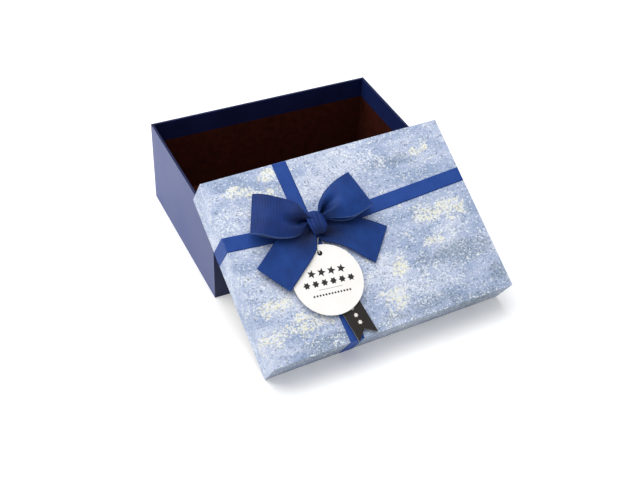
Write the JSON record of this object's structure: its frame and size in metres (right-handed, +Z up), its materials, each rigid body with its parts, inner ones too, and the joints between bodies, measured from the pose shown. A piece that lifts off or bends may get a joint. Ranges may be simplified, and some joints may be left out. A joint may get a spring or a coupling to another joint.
{
  "type": "gift box",
  "caption": "Rigid rectangular gift box: open base tray with a lift-off lid leaning on it, crossed by ribbons with a bow and hang tags.",
  "frame": {"origin": "centre of the base tray's underside", "axes": "+X along the tray's long side, +Y to the tray's back, away from the leaning lid, +Z up"},
  "size_m": [0.2571, 0.308, 0.1246],
  "materials": {
    "greyboard": "matt uncoated greyboard",
    "corner_tape": "gummed kraft tape",
    "navy_paper": "fine embossed, soft sheen",
    "printed_paper": "printed, satin laminate",
    "brown_lining": "matt",
    "pale_lining": "matt",
    "band_ribbon": "ribbed grosgrain",
    "bow_ribbon": "ribbed grosgrain",
    "hot_melt": "translucent glue",
    "white_card": "smooth card",
    "black_card": "smooth card, white edge",
    "white_thread": "twisted thread"
  },
  "bodies": {
    "base": {"base_back_board": "greyboard", "base_corner_stay_back_left": "corner_tape", "base_corner_stay_back_right": "corner_tape", "base_corner_stay_front_left": "corner_tape", "base_corner_stay_front_right": "corner_tape", "base_floor_board": "greyboard", "base_floor_lining": "brown_lining", "base_front_board": "greyboard", "base_left_board": "greyboard", "base_right_board": "greyboard", "base_wall_lining": "brown_lining", "base_wrap": "navy_paper"},
    "lid": {"bow_glue_dab": "hot_melt", "bow_knot": "bow_ribbon", "bow_left_loop": "bow_ribbon", "bow_left_tail": "bow_ribbon", "bow_right_loop": "bow_ribbon", "bow_right_tail": "bow_ribbon", "lid_back_board": "greyboard", "lid_corner_stay_back_left": "corner_tape", "lid_corner_stay_back_right": "corner_tape", "lid_corner_stay_front_left": "corner_tape", "lid_corner_stay_front_right": "corner_tape", "lid_front_board": "greyboard", "lid_left_board": "greyboard", "lid_right_board": "greyboard", "lid_top_board": "greyboard", "lid_top_lining": "pale_lining", "lid_wall_lining": "pale_lining", "lid_wrap": "printed_paper", "long_ribbon": "band_ribbon", "short_ribbon": "band_ribbon", "tag_thread": "white_thread"},
    "round_tag": {"round_tag": "white_card"},
    "swallowtail_tag": {"swallowtail_tag": "black_card"}
  },
  "joints": [
    {"name": "lid_lift", "type": "slide", "parent": "base", "child": "lid", "axis": [0, 0, 1], "range_m": [0, 0.15]},
    {"name": "round_tag_swing", "type": "hinge", "parent": "lid", "child": "round_tag", "pos_m": [-0.04255, -0.1454, 0.07512], "axis": [0.0216, -0.5143, 0.8573], "range_deg": [-35, 40]},
    {"name": "swallowtail_tag_swing", "type": "hinge", "parent": "lid", "child": "swallowtail_tag", "pos_m": [-0.04255, -0.1454, 0.07512], "axis": [0.0216, -0.5143, 0.8573], "range_deg": [-35, 30]}
  ]
}
